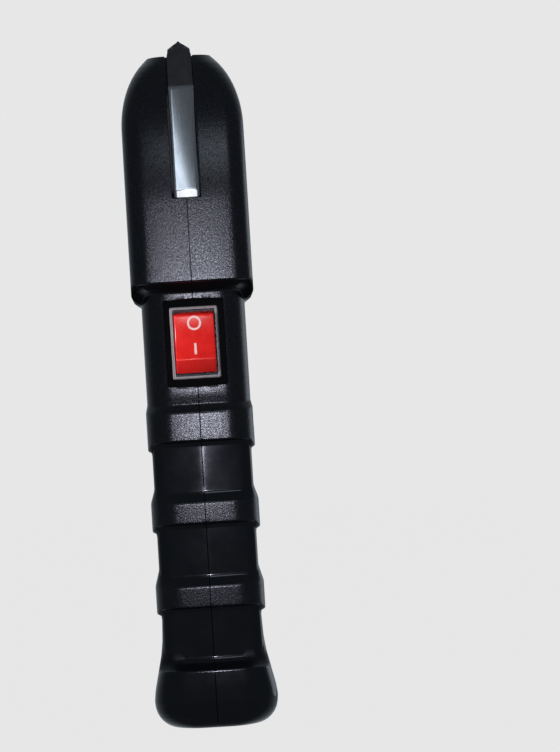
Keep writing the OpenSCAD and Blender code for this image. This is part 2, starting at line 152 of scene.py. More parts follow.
def bevel(piece, width, segments=3, angle=30):
    """Rounds the edges of a piece by a width in millimetres."""
    step = piece.modifiers.new("bevel", "BEVEL")
    step.width = width * MM
    step.segments = segments
    step.limit_method = "ANGLE"
    step.angle_limit = math.radians(angle)
    step.harden_normals = False
    return apply_modifiers(piece)


def rounded_rectangle(half_w, half_l, radius, steps=5):
    """Corner points of a rounded rectangle round the origin, anticlockwise."""
    points = []
    for sx, sy, start in ((1, 1, 0), (-1, 1, 90), (-1, -1, 180), (1, -1, 270)):
        for k in range(steps + 1):
            a = math.radians(start + 90 * k / steps)
            points.append((sx * (half_w - radius) + radius * math.cos(a),
                           sy * (half_l - radius) + radius * math.sin(a)))
    return points


def stack(name, loops, place, closed=False):
    """A solid through loops of equal length. Each loop is a list of (u, v) and a height, and place
    turns (u, v, height) into a point. A closed stack joins its last loop to its first, and an open
    one is capped at both ends."""
    n = len(loops[0][0])
    points = [place(u, v, height) for outline, height in loops for u, v in outline]
    rows = len(loops)
    faces = []
    for j in range(rows if closed else rows - 1):
        for i in range(n):
            a, b = j * n + i, j * n + (i + 1) % n
            c, d = (j + 1) % rows * n + (i + 1) % n, (j + 1) % rows * n + i
            faces.append((a, b, c, d))
    if not closed:
        faces.append(tuple(range(n)))
        faces.append(tuple((rows - 1) * n + i for i in reversed(range(n))))
    return outward(link(name, points, faces))


def facing_front(u, v, height):
    """Height is measured along Y, and the outline lies in X and Z round the switch."""
    return (u, height, SWITCH_Z + v)


def block(name, low, high, radius):
    """A column with rounded corners between two corners, standing along Z."""
    centre = ((low[0] + high[0]) / 2, (low[1] + high[1]) / 2)
    outline = rounded_rectangle((high[0] - low[0]) / 2, (high[1] - low[1]) / 2, radius)
    return stack(name, [(outline, low[2]), (outline, high[2])],
                 lambda u, v, h: (centre[0] + u, centre[1] + v, h))


def rod(name, start, axis, rings, sides=40):
    """A turned solid along X or Z from start, through (distance, radius) rings."""
    turns = [2 * math.pi * k / sides for k in range(sides)]
    loops = [([(r * math.cos(a), r * math.sin(a)) for a in turns], d) for d, r in rings]

    def place(u, v, d):
        if axis == "x":
            return (start[0] + d, start[1] + u, start[2] + v)
        return (start[0] + u, start[1] + v, start[2] + d)
    return stack(name, loops, place)


# ---- Outline of the handle --------------------------------------------------------------------
def nose_half(z, half, start, reach):
    """Half size of the nose at height z, rounding over from start to nothing at start + reach."""
    return half * math.sqrt(1 - (max(0.0, z - start) / reach) ** 2)


# What crowns a cross-section: an even bow, a fall towards its shoulders, and a slope away from the seam
SMOOTH, RAISED, NECK = (0.3, 0.1, 0.055), (0.1, 1.0, 0.012), (0.1, 1.2, 0.012)
HEAD, POMMEL, FLARE = (0.15, 0.45, 0.006), (0.3, 1.2, 0.012), (0.3, 0.3, 0.03)
GRIP_CORNER, RIDGE_CORNER, NECK_CORNER = 3.2, 7.2, 7.0
# The base's rounding: its height, how far in it starts across and in depth, and how far its front
# stays behind the crease above it
BASE_ROUND, BASE_IN_W, BASE_IN_D, BASE_SHY, BASE_STEPS = 8, 7.6, 4.6, 0.4, 8
NOSE_STEPS = 26


def corner_path():
    """The handle's outline as rows of (height at the front, height at the sides, half width,
    half depth, corner radius, bow, fall, slope, rounding), from the base up."""
    rows = [(0, 0, POMMEL_W - BASE_IN_W, POMMEL_D - BASE_IN_D, 6.5, *POMMEL, 0)]
    for k in range(1, BASE_STEPS + 1):
        a = math.radians(90 * k / BASE_STEPS)
        h, s = BASE_ROUND * (1 - math.cos(a)), 1 - math.sin(a)
        d = POMMEL_D - BASE_IN_D * s - BASE_SHY * (k < BASE_STEPS)
        rows.append((h, h, POMMEL_W - BASE_IN_W * s, d, 8.5 - 2 * s, *POMMEL, 0.4))
    rows += [
        (8.7, 8.7, POMMEL_W, POMMEL_D, 8.4, *POMMEL, 0.4),
        (12.5, 11.8, POMMEL_W - 0.35, POMMEL_D - 0.02, 8.2, *POMMEL, 2.0),
        (17.5, 16.3, POMMEL_W - 1.4, POMMEL_D - 0.3, 8.0, *POMMEL, 0.5),
        (19.4, 22.0, GRIP_W + 0.9, GRIP_D + 0.9, 5.6, *FLARE, 0.7),
        (20.8, 26.5, GRIP_W + 0.3, GRIP_D, 3.6, *SMOOTH, 0.8),
        groove(35.0, 33.0, 0.3),
        groove(36.0, 34.1, 0.2, 0.1, 0.3),
        *ridge(36.4, 34.7, 42.6, 43.2, 0.1),
        groove(45.3, 48.0, 0.9),
        groove(60.2, 57.9, 0.3),
        groove(61.2, 58.9, 0.2, 0.1, 0.3),
        *ridge(61.6, 59.5, 67.8, 68.2, 0.0),
        groove(70.5, 72.2, 0.9),
        groove(84.9, 82.4, 0.3, 0.0, -0.16),
        groove(86.0, 83.4, 0.2, 0.1, 0.2),
        *ridge(86.4, 84.0, 95.0, 95.6, -0.1),
        (97.4, 98.0, NECK_W, NECK_D - 0.35, NECK_CORNER, *NECK, 0.3),
        (100.6, 101.4, NECK_W, NECK_D, NECK_CORNER, *NECK, 1.4),
        (131.3, 128.0, NECK_W, NECK_D, NECK_CORNER, *NECK, 0.5),
        (133.8, 130.0, HEAD_W - 0.35, HEAD_D - 0.9, 5.9, *HEAD, 0.4),
        (134.4, 130.9, HEAD_W, HEAD_D, 5.4, *HEAD, 0.35),
    ]
    top = BODY_LEN - TOP_ROUND
    for k in range(NOSE_STEPS + 1):
        z = NOSE_START + (top - NOSE_START) * k / NOSE_STEPS
        w = nose_half(z, HEAD_W, NOSE_SIDE_START, NOSE_SIDE_REACH)
        d = nose_half(z, HEAD_D, NOSE_START, NOSE_FACE_REACH)
        rows.append((z, z, w, d, 5.6, *HEAD, 0.4))
    rows.append((BODY_LEN, BODY_LEN, w - TOP_ROUND, d - TOP_ROUND, 5.0, *HEAD, 0))
    return rows


def groove(front, side, rounding, more_w=0.0, more_d=0.0):
    """One row of a groove between two ridges, or of the small fillet at a ridge's foot."""
    return (front, side, GRIP_W + more_w, GRIP_D + more_d, GRIP_CORNER, *SMOOTH, rounding)


def ridge(low_front, low_side, high_front, high_side, extra):
    """The two edges of a ridge, each as one row to be rounded."""
    size = (RIDGE_W + extra, RIDGE_D + extra, RIDGE_CORNER, *RAISED)
    return [(low_front, low_side, *size, 0.45), (high_front, high_side, *size, 0.6)]


def rounded_path(rows, arc=6, pitch=1.6):
    """The same path with each corner rounded by its last value, and long stretches divided."""
    rows = [np.array(r, float) for r in rows]
    dense = [rows[0]]
    for i in range(1, len(rows) - 1):
        before, here, after = rows[i - 1], rows[i], rows[i + 1]

        def towards(other):
            span = np.linalg.norm((other - here)[[0, 3]]) + 1e-9
            return here + (other - here) * min(here[-1] / span, 0.45)
        first, last = towards(before), towards(after)
        for k in range(arc + 1):
            t = k / arc
            dense.append((1 - t) ** 2 * first + 2 * t * (1 - t) * here + t * t * last)
    dense.append(rows[-1])
    filled = [dense[0]]
    for row in dense[1:]:
        span = max(abs(row[0] - filled[-1][0]), abs(row[1] - filled[-1][1]))
        parts = max(1, math.ceil(span / pitch))
        start = filled[-1]
        filled += [start + (row - start) * k / parts for k in range(1, parts + 1)]
    return filled


SEAM_WIDTH = 0.15
SEAM_DEPTH = 0.2
SEAM_ROUND = 1.0         # how softly the slope away from the seam begins
SEAM_LAND = 0.5          # the narrow strip beside the groove
FLAT_STEPS, ARC_STEPS, SIDE_STEPS = 14, 16, 8


def half_ring(row):
    """Half of a cross-section, from the front seam round the +X side to the back seam."""
    front, side, w, d, r, bow, fall, roof, _ = row
    r = min(r, w - 1, d - 1)
    flat = [0, SEAM_WIDTH * 0.5, SEAM_WIDTH, SEAM_LAND]
    flat += [SEAM_LAND + (w - r - SEAM_LAND) * (k / FLAT_STEPS) ** 1.3 for k in range(1, FLAT_STEPS)]
    arc = [math.radians(90 * (k / ARC_STEPS) ** 0.85) for k in range(ARC_STEPS + 1)]
    quarter = [(x, -d, 0.0) for x in flat]
    quarter += [(w - r + r * math.sin(a), -d + r - r * math.cos(a), math.sin(a) ** 8) for a in arc]
    sides = [(w, (d - r) * (2 * k / SIDE_STEPS - 1), 1.0) for k in range(1, SIDE_STEPS)]
    mirrored = [(x, -y, b) for x, y, b in reversed(quarter)]
    ring = []
    for x, y, b in quarter + sides + mirrored:
        sink = bow * (x / w) ** 2 + fall * (x / w) ** 4 + roof * (math.hypot(x, SEAM_ROUND) - SEAM_ROUND)
        y *= 1 - sink / d
        if x < SEAM_WIDTH:
            y -= math.copysign(SEAM_DEPTH * (1 - x / SEAM_WIDTH), y)
        ring.append((x, y, front + (side - front) * b))
    return ring


def half_body(name, side):
    """Half of the solid handle, on the +X side (side 1) or the -X side (side -1)."""
    rings = [half_ring(row) for row in rounded_path(corner_path())]
    n, rows = len(rings[0]), len(rings)
    points = [(side * x, y, z) for ring in rings for x, y, z in ring]
    faces = [(j * n + i, j * n + (i + 1) % n, (j + 1) * n + (i + 1) % n, (j + 1) * n + i)
             for j in range(rows - 1) for i in range(n)]
    for base in (0, (rows - 1) * n):
        for i in range(n // 2):
            a, b, c, d = base + i, base + i + 1, base + n - 2 - i, base + n - 1 - i
            if b < c:
                faces.append((a, b, c, d))
            elif b == c:
                faces.append((a, b, d))
    return outward(link(name, points, faces))


# ---- What is cut from the shells ----------------------------------------------------------------
WALL = 2.3
SCREWS = [(-12.6, 8), (12.6, 8), (-10.5, 92.6), (11.4, 104), (-13.2, 139.6), (13.2, 139.6),
          (8.6, BODY_LEN - 19.4)]            # (y, z) of each
SCREW_HEAD_X = node_box("shell_screws")[1].x
SCREW_HEAD_H = 2.2
WELL_R, WELL_RIM_R, SHANK_R = 3.05, 3.9, 1.6
JACK_HOLE_R, JACK_CHAMFER_R = 4.0, 4.6
SLOT_HALF = (blade_high.x - blade_low.x) / 2 + 0.42
SLOT_LIP = 0.3
POCKET_HALF_W, POCKET_HALF_L, POCKET_LIP, POCKET_CORNER = 9.15, 13.0, 0.55, 0.5
OPENING_HALF_W, OPENING_HALF_L = 6.6, 9.8
MOUTH_STEPS = 5


def cavities():
    """The hollow inside the handle, as columns."""
    w, d = GRIP_W - WALL, GRIP_D - WALL
    return [
        block("grip_hollow", (-w, -d, 2.6), (w, d, 99), 4.6),
        block("neck_hollow", (-w, SEAT_Y + 2.2, 98), (w, NECK_D - WALL, 136), 4),
        block("head_hollow", (WALL - HEAD_W, WALL - HEAD_D, 135.2),
              (HEAD_W - WALL, HEAD_D - WALL, 176), 5),
        block("nose_hollow", (4 - HEAD_W, -14.5, 175), (HEAD_W - 4, 14.5, 187), 5),
        block("tip_hollow", (6.5 - HEAD_W, -10.8, 186), (HEAD_W - 6.5, 10.8, 195), 4),
    ]


def mouth(lip):
    """A rounded mouth as steps of (how much wider, how much deeper than the surface)."""
    turns = [math.radians(90 * k / MOUTH_STEPS) for k in range(MOUTH_STEPS + 1)]
    return [(lip * (1 - math.cos(a)), lip * (1 - math.sin(a))) for a in turns]


def recess():
    """The pocket round the switch, with a rounded mouth, and the opening for the switch's body."""
    def pocket_outline(grow):
        return rounded_rectangle(POCKET_HALF_W + grow, POCKET_HALF_L + grow, POCKET_CORNER + grow)
    loops = [(pocket_outline(0), SEAT_Y)]
    loops += [(pocket_outline(wider), -NECK_D + deeper) for wider, deeper in mouth(POCKET_LIP)]
    loops.append((pocket_outline(POCKET_LIP), -NECK_D - 5))
    opening = rounded_rectangle(OPENING_HALF_W, OPENING_HALF_L, 0.4)
    return [stack("recess", loops, facing_front),
            stack("opening", [(opening, SEAT_Y - 0.5), (opening, SEAT_Y + 4)], facing_front)]


def slot_floor(z):
    """Y of the blade slot's floor at height z, a little behind the blade's inner face."""
    foot, fold = blade_low.y + 2.05, BODY_LEN - 11.2
    line = [(blade_low.z - 0.3, -19.5), (blade_low.z + 1.5, -19.8), (blade_low.z + 1.9, foot),
            (fold, -14.05), (BODY_LEN + 9, 1.8)]
    return float(np.interp(z, [p[0] for p in line], [p[1] for p in line]))


def blade_slot():
    """The channel that the blade lies in, with rounded shoulders that follow the nose."""
    loops = []
    heights = [blade_low.z - 0.15, blade_low.z, *np.linspace(blade_low.z + 1.5, BODY_LEN, 40), BODY_LEN + 3]
    for z in heights:
        surface = -nose_half(min(z, BODY_LEN - TOP_ROUND), HEAD_D, NOSE_START, NOSE_FACE_REACH)
        surface += max(0.0, z - (BODY_LEN - TOP_ROUND))
        profile = [(SLOT_HALF, slot_floor(z))]
        profile += [(SLOT_HALF + wider, surface + deeper) for wider, deeper in mouth(SLOT_LIP)]
        profile.append((SLOT_HALF + SLOT_LIP, surface - 6))
        outline = profile + [(-x, y) for x, y in reversed(profile)]
        loops.append((outline, z))
    return [stack("slot", loops, lambda u, v, h: (u, v, h))]


def counterbores():
    """The screw wells in the right shell, with softened rims."""
    seat = SCREW_HEAD_X - SCREW_HEAD_H
    found = []
    for k, (y, z) in enumerate(SCREWS):
        off_y, off_z = abs(right_points[:, 1] - y), abs(right_points[:, 2] - z)
        deep = float(right_points[(off_y < 3.3) & (off_z < 3.3)][:, 0].max()) - seat
        rings = [(0, WELL_R), (deep - 0.5, WELL_R), (deep - 0.1, 3.3), (deep + 0.4, WELL_RIM_R),
                 (deep + 3, WELL_RIM_R)]
        found.append(rod(f"well_{k}", (seat, y, z), "x", rings))
        found.append(rod(f"shank_{k}", (-12, y, z), "x", [(0, SHANK_R), (seat + 13, SHANK_R)], 24))
    return found


def jack_hole():
    """The round hole in the base, with a small chamfer."""
    rings = [(0, JACK_CHAMFER_R), (1, JACK_CHAMFER_R), (1.5, JACK_HOLE_R), (5, JACK_HOLE_R)]
    return [rod("jack_hole", (0, 0, -1), "z", rings, 64)]


# ---- The two shells ---------------------------------------------------------------------------
# Where the moulded texture shows: low edge at the front and the sides, then high edge likewise
GRAIN_BANDS = (
    (36.1, 34.4, 42.9, 43.5),
    (61.3, 59.2, 68.1, 68.5),
    (86.1, 83.7, 95.4, 96.0),
    (96.0, 96.5, 131.6, 128.2),
    (134.0, 130.5, BODY_LEN + 1, BODY_LEN + 1),
)
GRAIN_FADE = 0.4


def rise(value, start, width):
    """From 0 at start to 1 a width further on. A negative width falls instead."""
    return np.clip((value - start) / width, 0, 1)


def mark_grain(piece):
    """Stores "grain", from 0 on smooth faces to 1 on textured ones, and "recess", from 0 to 1 where
    the plastic is dull and its colour carries painted shade: round the switch, under the head and
    in the pommel's flare."""
    count = len(piece.data.vertices)
    places = np.empty(count * 3)
    piece.data.vertices.foreach_get("co", places)
    places = places.reshape(-1, 3) / MM
    x, y, z = places.T
    w, d = np.abs(x), np.abs(y)
    grain = np.zeros(count)
    share = rise(w / GRIP_W, 0.6, 0.4) ** 6
    for low_front, low_side, high_front, high_side in GRAIN_BANDS:
        low = low_front + (low_side - low_front) * share
        high = high_front + (high_side - high_front) * share
        grain = np.maximum(grain, rise(z, low, GRAIN_FADE) * rise(z, high, -GRAIN_FADE))
    inside = (w < 10) & (y > -NECK_D + 0.5) & (y < 0) & (abs(z - SWITCH_Z) < 14)
    grain[inside] = 0
    beyond_neck = np.maximum(w / NECK_W, d / NECK_D) > 1.01
    # Under the head's step and in the pommel's flare the plastic is dulled and also painted darker as shade
    under = rise(z, 128.0, 1.0) * rise(z, 134.2, -0.3) * beyond_neck
    flare = 0.6 * rise(z, 17.9, 0.3) * rise(z, 23.0, -2.0) * (w > 9.5)
    dull = np.maximum(np.maximum(inside, under), flare)
    for name, values in (("grain", grain), ("recess", dull)):
        layer = piece.data.attributes.new(name, "FLOAT", "POINT")
        layer.data.foreach_set("value", values)


def finish_shell(piece):
    """Smooth shading on the lofted faces, with the cuts' edges kept."""
    smooth(piece, 32)
    mark_grain(piece)
    piece.modifiers.new("normals", "WEIGHTED_NORMAL").keep_sharp = True


left = half_body("handle_left", -1)
right = half_body("handle_right", 1)
cut(left, cavities() + recess() + blade_slot() + jack_hole())
cut(right, cavities() + recess() + blade_slot() + jack_hole() + counterbores())
for piece, node in ((left, "left_shell"), (right, "right_shell")):
    finish_shell(piece)
    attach(piece, "handle")
    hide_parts(node)


# ---- Blade --------------------------------------------------------------------------------------
BLADE_T = 1.6
BLADE_HALF, POINT_HALF = 3.92, 3.47       # half widths below and above the taper
TAPER_LOW, TAPER_HIGH = 202.2, 205.6      # heights between which the strip narrows
ASIDE = 0.2                               # how far right of the middle the strip lies
EDGE_ROUND = 0.32
TIP_HALF = 0.12
FOLD_Z, FOLD_BACK = BODY_LEN - 10.3, 6.8  # the upper fold, and how far behind the foot it is
TOP_RISE, TOP_LEAN = 15.2, 0.7813         # the part above the fold, and its lean backwards


def blade_line():
    """The strip's outer line as (y, z, rounding), from its tail and flat foot to past the point."""
    y, z = blade_low.y, blade_low.z
    return [(y + 13.3, z, 0.0), (y + 0.7, z, 0.15), (y, z + 2.3, 0.2), (y + FOLD_BACK, FOLD_Z, 0.6),
            (y + FOLD_BACK + TOP_RISE * TOP_LEAN, FOLD_Z + TOP_RISE, 0.0)]


def blade_frames():
    """Places along the strip: (y, z, outward y, outward z), closer together at its bends."""
    knots = blade_line()
    places = []
    for i, (y, z, r) in enumerate(knots):
        here = Vector((y, z))
        if i == 0 or i == len(knots) - 1:
            places.append(here)
            continue
        before, after = Vector(knots[i - 1][:2]), Vector(knots[i + 1][:2])
        first = here + (before - here).normalized() * r
        last = here + (after - here).normalized() * r
        for k in range(9):
            t = k / 8
            places.append((1 - t) ** 2 * first + 2 * t * (1 - t) * here + t * t * last)
    filled = [places[0]]
    for place in places[1:]:
        gap = (place - filled[-1]).length
        parts = max(1, math.ceil(gap / 0.6))
        start = filled[-1].copy()
        filled += [start.lerp(place, k / parts) for k in range(1, parts + 1)]
    frames = []
    for i, place in enumerate(filled):
        along = (filled[min(i + 1, len(filled) - 1)] - filled[max(i - 1, 0)]).normalized()
        frames.append((place.x, place.y, -along.y, along.x))
    return frames


def blade_half(z):
    """Half width of the strip at height z, below its pointed end."""
    t = min(max((z - TAPER_LOW) / (TAPER_HIGH - TAPER_LOW), 0.0), 1.0)
    return BLADE_HALF - (BLADE_HALF - POINT_HALF) * t * t


def build_blade():
    """The strip as a loft: a flat face between rounded edges, a bump at its right edge, and a
    pencil point."""
    tip = blade_high.z
    shoulder = tip - 2.5
    rows = []
    for y, z, ny, nz in blade_frames():
        if z > tip:
            break
        half = blade_half(z)
        point = 0.0
        if z > shoulder:
            point = min((z - shoulder) / (tip - TIP_HALF - shoulder), 1.0)
            half = max(half * (1 - point ** 1.5), TIP_HALF)
        bump = 0.1 * math.exp(-((z - (FOLD_Z - 2.1)) / 0.7) ** 2)
        ring = []
        thick = min(BLADE_T, half * 2.2)
        for sx in (1, -1):
            wide = half + (bump if sx > 0 else 0)
            across = [0, 0.25, 0.5, 0.75] if sx > 0 else [0.75, 0.5, 0.25]
            soft = min(EDGE_ROUND, wide * 0.4)
            front = [(u * (wide - soft), 0.0) for u in across]
            turns = [math.radians(a) for a in (0, 30, 60, 90)]
            corner = [(wide - soft + soft * math.sin(a), soft - soft * math.cos(a)) for a in turns]
            back = [(wide, thick - 0.1), (wide - 0.1, thick)]
            if sx > 0:
                ring += front + corner + back
            else:
                ring += [(-x, h) for x, h in reversed(corner + back)] + [(-x, h) for x, h in front]
        slope = 0.03 + 0.13 * min(point * 3, 1)
        row = []
        for x, h in ring:
            sink = slope * abs(x) * (1 if point else abs(x) / 3.8) if h < thick * 0.6 else 0.0
            depth = h + min(sink, thick * 0.5)
            row.append((x + ASIDE, y - depth * ny, z - depth * nz))
        rows.append(row)
    n = len(rows[0])
    points = [p for row in rows for p in row]
    faces = [(j * n + i, j * n + (i + 1) % n, (j + 1) * n + (i + 1) % n, (j + 1) * n + i)
             for j in range(len(rows) - 1) for i in range(n)]
    faces += [tuple(range(n)), tuple((len(rows) - 1) * n + i for i in reversed(range(n)))]
    return outward(link("blade_strip", points, faces))


def mark_fold_shade(piece):
    """Stores the steel's painted shade past the upper fold: 0 below the fold and 1 above it."""
    layer = piece.data.attributes.new("fold_shade", "FLOAT", "POINT")
    for i, vertex in enumerate(piece.data.vertices):
        layer.data[i].value = min(max((vertex.co.z / MM - FOLD_Z) / 0.5, 0.0), 1.0)


blade = smooth(build_blade(), 28)
mark_fold_shade(blade)
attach(blade, "handle")
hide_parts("blade")


# ---- Switch -------------------------------------------------------------------------------------
BEZEL_Y = switch_low.y
# Half widths and half lengths of the window, the grey frame, the switch's body and the well inside
WINDOW_W, WINDOW_L = 6.35, 10.0
FRAME_W, FRAME_L = 7.3, 10.9
BODY_W, BODY_L = 6.6, 9.6
WELL_W, WELL_L = 5.2, 8.3


def build_bezel():
    """The bezel and the switch's body as one closed wall with a pocket open to the front."""
    bottom, flange = switch_high.y, SEAT_Y + 0.05
    outline = [                     # half width, half length, corner radius and y of each loop
        (BODY_W - 0.15, BODY_L, 0.6, bottom),
        (BODY_W, BODY_L, 0.6, bottom - 0.3),
        (BODY_W, BODY_L, 0.6, flange),
        (FRAME_W, FRAME_L, 0.6, flange),
        (FRAME_W, FRAME_L, 0.6, BEZEL_Y + 0.35),
        (FRAME_W - 0.08, FRAME_L - 0.08, 0.55, BEZEL_Y + 0.14),
        (FRAME_W - 0.2, FRAME_L - 0.2, 0.5, BEZEL_Y + 0.03),
        (FRAME_W - 0.32, FRAME_L - 0.32, 0.45, BEZEL_Y),
        (WINDOW_W + 0.12, WINDOW_L + 0.12, 0.5, BEZEL_Y),
        (WINDOW_W, WINDOW_L, 0.4, BEZEL_Y + 0.15),
        (WINDOW_W, WINDOW_L, 0.4, SEAT_Y - 0.3),
        (WELL_W, WELL_L, 0.4, SEAT_Y - 0.1),
        (WELL_W, WELL_L, 0.4, bottom - 1.0),
    ]
    loops = [(rounded_rectangle(w, l, r), y) for w, l, r, y in outline]
    return stack("switch_bezel", loops, facing_front)


bezel = smooth(build_bezel(), 40)
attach(bezel, "handle")
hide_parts("switch_housing")

PIVOT = Vector((0, -15.8, SWITCH_Z))      # where the rocker's hinge is
TILT = math.radians(-12)                  # its tilt at rest, half of the hinge's range
PINS_LONG = rocker_high.x - rocker_low.x
ROCKER_W = 6.1
TIP_O, TIP_I = 7.3, -6.45                 # the two raised ends, along the rocker
DISH_LOW, DISH_RISE, DISH_O = 4.5, 1.2, 6.9    # the dish's height, its rise, and how far off that is
STEM_R, STEM_LONG = 2.5, 5.8
MARK_SUNK, MARK_PROUD = -0.12, 0.03


def tilted(u, along, high):
    """A point on the rocker, from its place along and above the pivot, turned to its rest tilt."""
    y, z = -high, along
    c, s = math.cos(TILT), math.sin(TILT)
    return (u, PIVOT.y + y * c - z * s, PIVOT.z + y * s + z * c)


def rocker_top(a):
    """Height of the rocker's dished top face at a distance along it."""
    return DISH_LOW + DISH_RISE * (a / (DISH_O if a > 0 else TIP_I)) ** 2


def build_rocker():
    """The rocker: a dished top between two raised ends, sloping end faces, and all edges rounded."""
    side = [(a, rocker_top(a)) for a in np.linspace(TIP_O, TIP_I, 25)]
    side += [(-9.7, 0.9), (-8.6, -0.6), (8.6, -0.6), (9.7, 0.9)]
    n = len(side)
    points = [tilted(u, a, h) for u in (-ROCKER_W, ROCKER_W) for a, h in side]
    faces = [tuple(range(n)), tuple(reversed(range(n, 2 * n)))]
    faces += [(i, (i + 1) % n, n + (i + 1) % n, n + i) for i in range(n)]
    body = outward(link("rocker_cap", points, faces))
    bevel(body, 0.45, 3, 25)
    pins = rod("pins", (rocker_low.x, PIVOT.y, PIVOT.z), "x",
               [(0, 0.8), (0.2, 1.0), (PINS_LONG - 0.2, 1.0), (PINS_LONG, 0.8)])
    stem = rod("stem", (0, 0, 0), "z", [(0, STEM_R - 0.2), (0.2, STEM_R), (STEM_LONG, STEM_R)])
    for v in stem.data.vertices:
        u, w, h = v.co / MM
        v.co = Vector(tilted(u, w, -STEM_LONG + h)) * MM
    outward(stem)
    return cut(body, [pins, stem], "UNION")


def surface_ring(name, centre, inner, outer):
    """A flat ring inlaid in the rocker's top, following its dish."""
    sides = 48
    turns = [2 * math.pi * k / sides for k in range(sides)]
    section = ((inner, MARK_SUNK), (inner, MARK_PROUD), ((inner + outer) / 2, MARK_PROUD + 0.02),
               (outer, MARK_PROUD), (outer, MARK_SUNK))
    loops = [([(r * math.cos(a), centre + r * math.sin(a)) for a in turns], lift) for r, lift in section]
    return stack(name, loops, lambda u, v, h: tilted(u, v, rocker_top(v) + h), closed=True)


def surface_bar(name, centre, half_w, half_l):
    """A flat bar inlaid in the rocker's top."""
    outline = rounded_rectangle(half_w, half_l, min(half_w, half_l) * 0.35, 3)
    loops = [(outline, lift) for lift in (MARK_SUNK, MARK_PROUD)]
    return stack(name, loops, lambda u, v, h: tilted(u, centre + v, rocker_top(centre + v) + h))


rocker = smooth(build_rocker(), 40)
mark_o = smooth(surface_ring("mark_o", 4.9, 1.5, 2.12), 50)
mark_i = smooth(surface_bar("mark_i", -3.0, 0.38, 1.82), 50)
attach(rocker, "rocker")
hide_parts("rocker")
for piece in (mark_o, mark_i):
    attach(piece, "rocker")


# ---- Materials ----------------------------------------------------------------------------------
class Surface:
    """A node material, built up from noise in the object's own coordinates. Sizes are in
    millimetres."""

    def __init__(self, name, metallic=0.0, coat=0.0, coat_roughness=0.1):
        self.material = bpy.data.materials.new(name)
        self.material.use_nodes = True
        self.tree = self.material.node_tree
        self.shader = self.tree.nodes["Principled BSDF"]
        for key, value in (("Metallic", metallic), ("IOR", 1.5), ("Coat Weight", coat),
                           ("Coat Roughness", coat_roughness), ("Specular IOR Level", 0.5)):
            self.shader.inputs[key].default_value = value
        self.place = self.node("ShaderNodeTexCoord").outputs["Object"]

    def node(self, kind, **values):
        made = self.tree.nodes.new(kind)
        for key, value in values.items():
            setattr(made, key, value)
        return made

    def plug(self, value, socket):
        if isinstance(value, bpy.types.NodeSocket):
            self.tree.links.new(value, socket)
        else:
            socket.default_value = value

    def noise(self, size, detail=3.0, roughness=0.55, stretch=(1, 1, 1)):
        """Noise with features of a size in millimetres, stretched along the axes."""
        scale = self.node("ShaderNodeVectorMath", operation="MULTIPLY")
        self.plug(self.place, scale.inputs[0])
        scale.inputs[1].default_value = [1 / (size * MM * s) for s in stretch]
        made = self.node("ShaderNodeTexNoise")
        self.plug(scale.outputs[0], made.inputs["Vector"])
        for key, value in (("Scale", 1.0), ("Detail", detail), ("Roughness", roughness), ("Distortion", 0.0)):
            made.inputs[key].default_value = value
        return made.outputs[0]

    def spread(self, value, low, high, to_low=0.0, to_high=1.0):
        made = self.node("ShaderNodeMapRange")
        for key, item in (("Value", value), ("From Min", low), ("From Max", high), ("To Min", to_low),
                          ("To Max", to_high)):
            self.plug(item, made.inputs[key])
        return made.outputs[0]

    def maths(self, operation, first, second):
        made = self.node("ShaderNodeMath", operation=operation)
        self.plug(first, made.inputs[0])
        self.plug(second, made.inputs[1])
        return made.outputs[0]

    def mix(self, share, first, second):
        made = self.node("ShaderNodeMix", data_type="RGBA")
        self.plug(share, made.inputs[0])
        for value, socket in ((first, made.inputs[6]), (second, made.inputs[7])):
            self.plug(value if isinstance(value, bpy.types.NodeSocket) else (*value, 1), socket)
        return made.outputs[2]

    def worn(self, low=0.52, high=0.58):
        """From 0 on flat faces to 1 on sharp outer edges."""
        return self.spread(self.node("ShaderNodeNewGeometry").outputs["Pointiness"], low, high)

    def attribute(self, name):
        return self.node("ShaderNodeAttribute", attribute_name=name).outputs["Fac"]

    def bump(self, height, depth, strength=1.0, under=None):
        made = self.node("ShaderNodeBump")
        self.plug(strength, made.inputs["Strength"])
        made.inputs["Distance"].default_value = depth * MM
        self.plug(height, made.inputs["Height"])
        if under is not None:
            self.plug(under, made.inputs["Normal"])
        return made.outputs["Normal"]

    def edge(self, radius):
        """The normal of a softly rounded edge."""
        made = self.node("ShaderNodeBevel", samples=4)
        made.inputs["Radius"].default_value = radius * MM
        return made.outputs["Normal"]

    def finish(self, colour, roughness, normal):
        self.plug(colour, self.shader.inputs["Base Color"])
        self.plug(roughness, self.shader.inputs["Roughness"])
        self.plug(normal, self.shader.inputs["Normal"])
        return self.material


